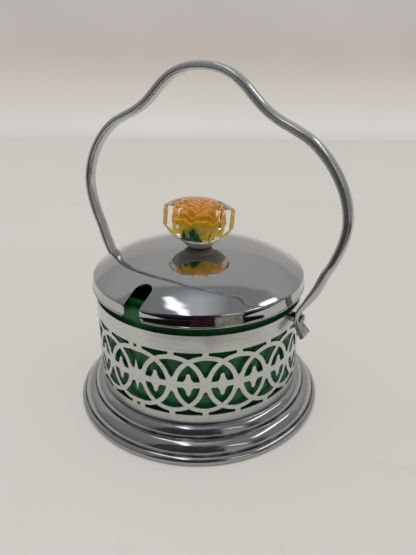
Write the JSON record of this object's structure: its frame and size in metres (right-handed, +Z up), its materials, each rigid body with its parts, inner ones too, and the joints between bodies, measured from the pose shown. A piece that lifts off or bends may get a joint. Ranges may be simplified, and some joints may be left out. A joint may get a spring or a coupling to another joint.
{
  "type": "preserve pot",
  "caption": "Preserve pot: pierced metal stand on a stepped foot with a swinging bail handle, a glass liner, and a lid with a spoon notch and a clear faceted knob.",
  "frame": {"origin": "centre of the foot, on the plane it stands on", "axes": "+Z up along the pot's axis; the bail's pivots lie along X; the spoon notch and the gallery's seam are at -Y"},
  "size_m": [0.1394, 0.12, 0.1562],
  "materials": {
    "plated_sheet": "thin spun and pierced sheet, bright chrome plate with light wear",
    "plated_bail": "half-round strip, bright chrome plate",
    "plated_rivet": "turned shoulder rivet, plated",
    "green_glass": "pressed dark green glass, polished",
    "clear_acrylic": "clear cast acrylic with polished flat sides",
    "cream_plaster": "cast cream filler",
    "petal_orange": "dyed carving, orange to olive",
    "leaf_green": "dyed carving, dark green",
    "screw_steel": "plain turned steel"
  },
  "bodies": {
    "stand": {"base": "plated_sheet", "gallery": "plated_sheet", "pivot_rivet_left": "plated_rivet", "pivot_rivet_right": "plated_rivet"},
    "handle": {"bail": "plated_bail"},
    "liner": {"glass_liner": "green_glass"},
    "cover": {"lid": "plated_sheet", "knob_body": "clear_acrylic", "knob_plug": "cream_plaster", "rose_bloom": "petal_orange", "rose_leaf_left": "leaf_green", "rose_leaf_right": "leaf_green", "knob_screw": "screw_steel", "knob_washer": "screw_steel"}
  },
  "joints": [
    {"name": "handle_swing", "type": "hinge", "parent": "stand", "child": "handle", "pos_m": [0, 0, 0.05375], "axis": [1, 0, 0], "range_deg": [-110, 110]},
    {"name": "liner_lift", "type": "slide", "parent": "stand", "child": "liner", "axis": [0, 0, 1], "range_m": [0, 0.045]},
    {"name": "lid_lift", "type": "slide", "parent": "liner", "child": "cover", "axis": [0, 0, 1], "range_m": [0, 0.045]}
  ]
}
